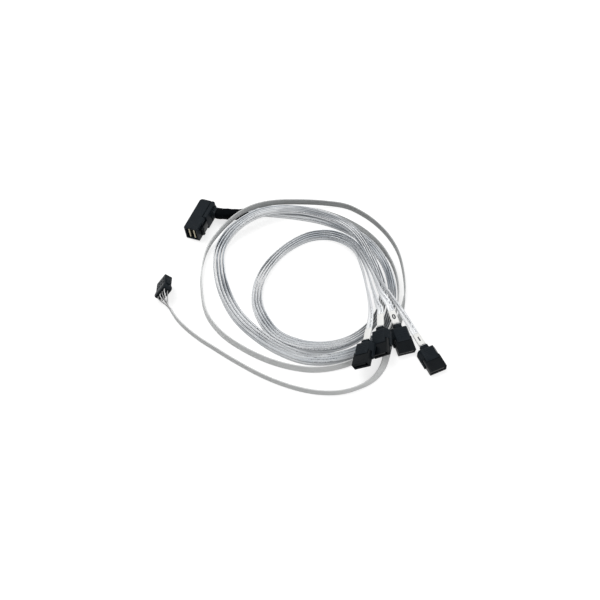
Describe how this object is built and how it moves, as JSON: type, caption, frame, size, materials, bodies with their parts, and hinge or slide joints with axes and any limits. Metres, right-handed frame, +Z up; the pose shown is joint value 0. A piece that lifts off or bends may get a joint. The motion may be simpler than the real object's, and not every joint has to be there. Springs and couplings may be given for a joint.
{
  "type": "breakout data cable",
  "caption": "Internal storage breakout cable: a right-angle latching host plug fans out through flat ribbons to keyed drive plugs and a sideband socket, laid in loose loops.",
  "frame": {"origin": "middle of the connectors' own box, on the plane that the cable lies on", "axes": "+Z up; +X from the host plug's side towards the drive plugs' side, across the loops; -Y the way the drive plugs' noses point"},
  "size_m": [0.1898, 0.1543, 0.0191],
  "materials": {
    "housing": "fine moulded texture",
    "insulator": "smooth moulded",
    "sleeve": "matt shrunk tube",
    "data_ribbon": "foil under clear film",
    "sideband_ribbon": "satin ribbed",
    "label": "satin wrapped film",
    "contact": "gold plated",
    "card": "bare board with plated pads",
    "wire": "satin insulation"
  },
  "bodies": {
    "cable": {"host_plug_body": "housing", "host_plug_cover": "housing", "host_plug_collar": "housing", "sideband_housing": "housing", "paddle_card_1": "card", "paddle_card_2": "card", "heat_shrink_sleeve": "sleeve", "drive_plug_1_grip": "housing", "drive_plug_1_nose": "insulator", "drive_plug_1_terminals": "contact", "data_ribbon_1": "data_ribbon", "number_label_1": "label", "drive_plug_2_grip": "housing", "drive_plug_2_nose": "insulator", "drive_plug_2_terminals": "contact", "data_ribbon_2": "data_ribbon", "number_label_2": "label", "drive_plug_3_grip": "housing", "drive_plug_3_nose": "insulator", "drive_plug_3_terminals": "contact", "data_ribbon_3": "data_ribbon", "number_label_3": "label", "drive_plug_4_grip": "housing", "drive_plug_4_nose": "insulator", "drive_plug_4_terminals": "contact", "data_ribbon_4": "data_ribbon", "number_label_4": "label", "sideband_ribbon": "sideband_ribbon", "sideband_contact_1": "contact", "sideband_wire_1": "wire", "sideband_contact_2": "contact", "sideband_wire_2": "wire", "sideband_contact_3": "contact", "sideband_wire_3": "wire", "sideband_contact_4": "contact", "sideband_wire_4": "wire", "sideband_contact_5": "contact", "sideband_wire_5": "wire", "sideband_contact_6": "contact", "sideband_wire_6": "wire", "sideband_contact_7": "contact", "sideband_wire_7": "wire", "sideband_contact_8": "contact", "sideband_wire_8": "wire"},
    "latch": {"host_plug_latch": "insulator"}
  },
  "joints": [
    {"name": "latch_press", "type": "hinge", "parent": "cable", "child": "latch", "pos_m": [-0.06316, 0.05159, 0.00721], "axis": [-0.1217, 0.0517, 0.9912], "range_deg": [-4, 0], "stiffness_Nm_per_rad": 0.05}
  ]
}
